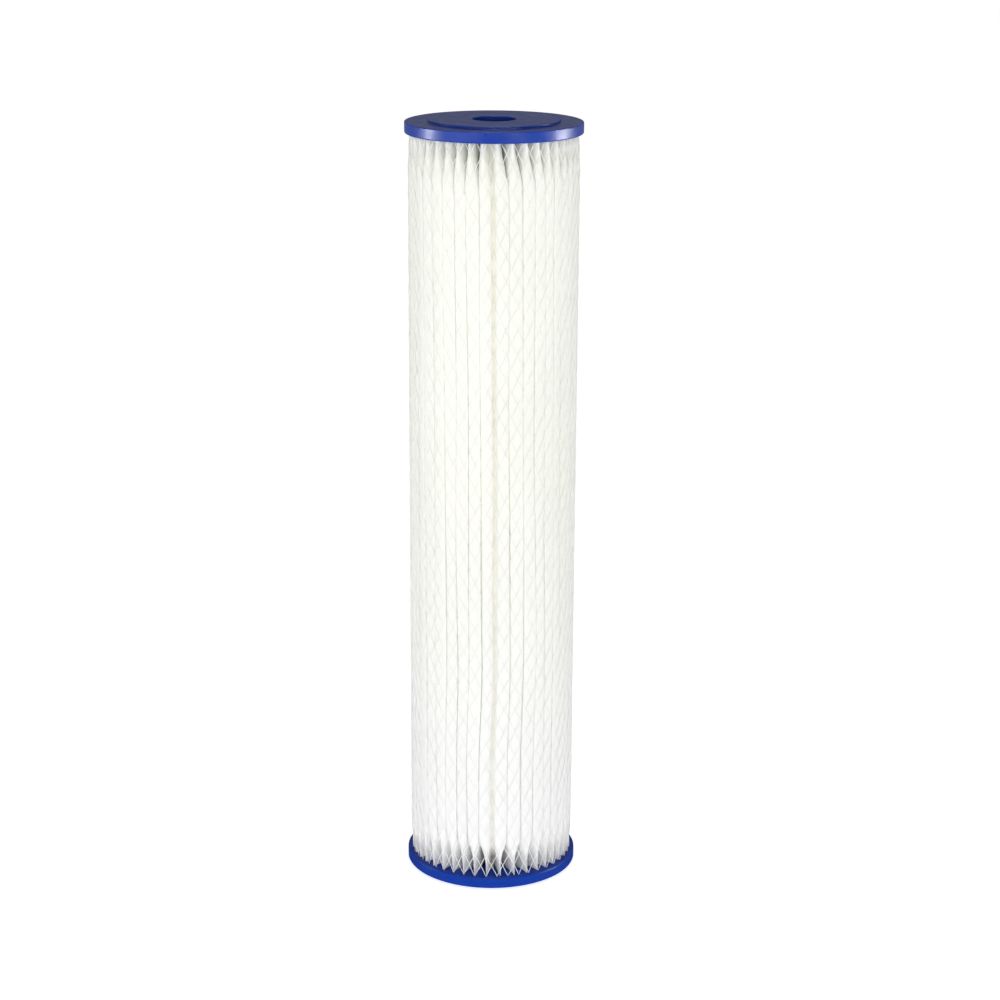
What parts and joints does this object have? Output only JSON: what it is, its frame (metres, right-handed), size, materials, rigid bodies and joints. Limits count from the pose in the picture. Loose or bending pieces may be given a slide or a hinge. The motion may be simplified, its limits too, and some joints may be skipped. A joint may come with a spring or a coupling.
{
  "type": "pleated filter cartridge",
  "caption": "Tall round pleated water filter cartridge with cast soft end caps, a slotted centre core and a netting sleeve; water passes inward through the pleats to the core.",
  "frame": {"origin": "centre of the bottom sealing face, on the cartridge's axis", "axes": "+Z along the cartridge's axis towards the top cap; -Y is the side with the media's bonded seam"},
  "size_m": [0.1142, 0.1142, 0.508],
  "materials": {
    "end_cap": "satin",
    "core": "satin",
    "media": "matte",
    "adhesive": "satin",
    "netting": "satin"
  },
  "bodies": {
    "root": {"end_cap_top": "end_cap", "end_cap_bottom": "end_cap", "centre_core": "core", "pleated_media": "media", "seam_adhesive": "adhesive", "netting_inner_strands": "netting", "netting_outer_strands": "netting"}
  },
  "joints": []
}
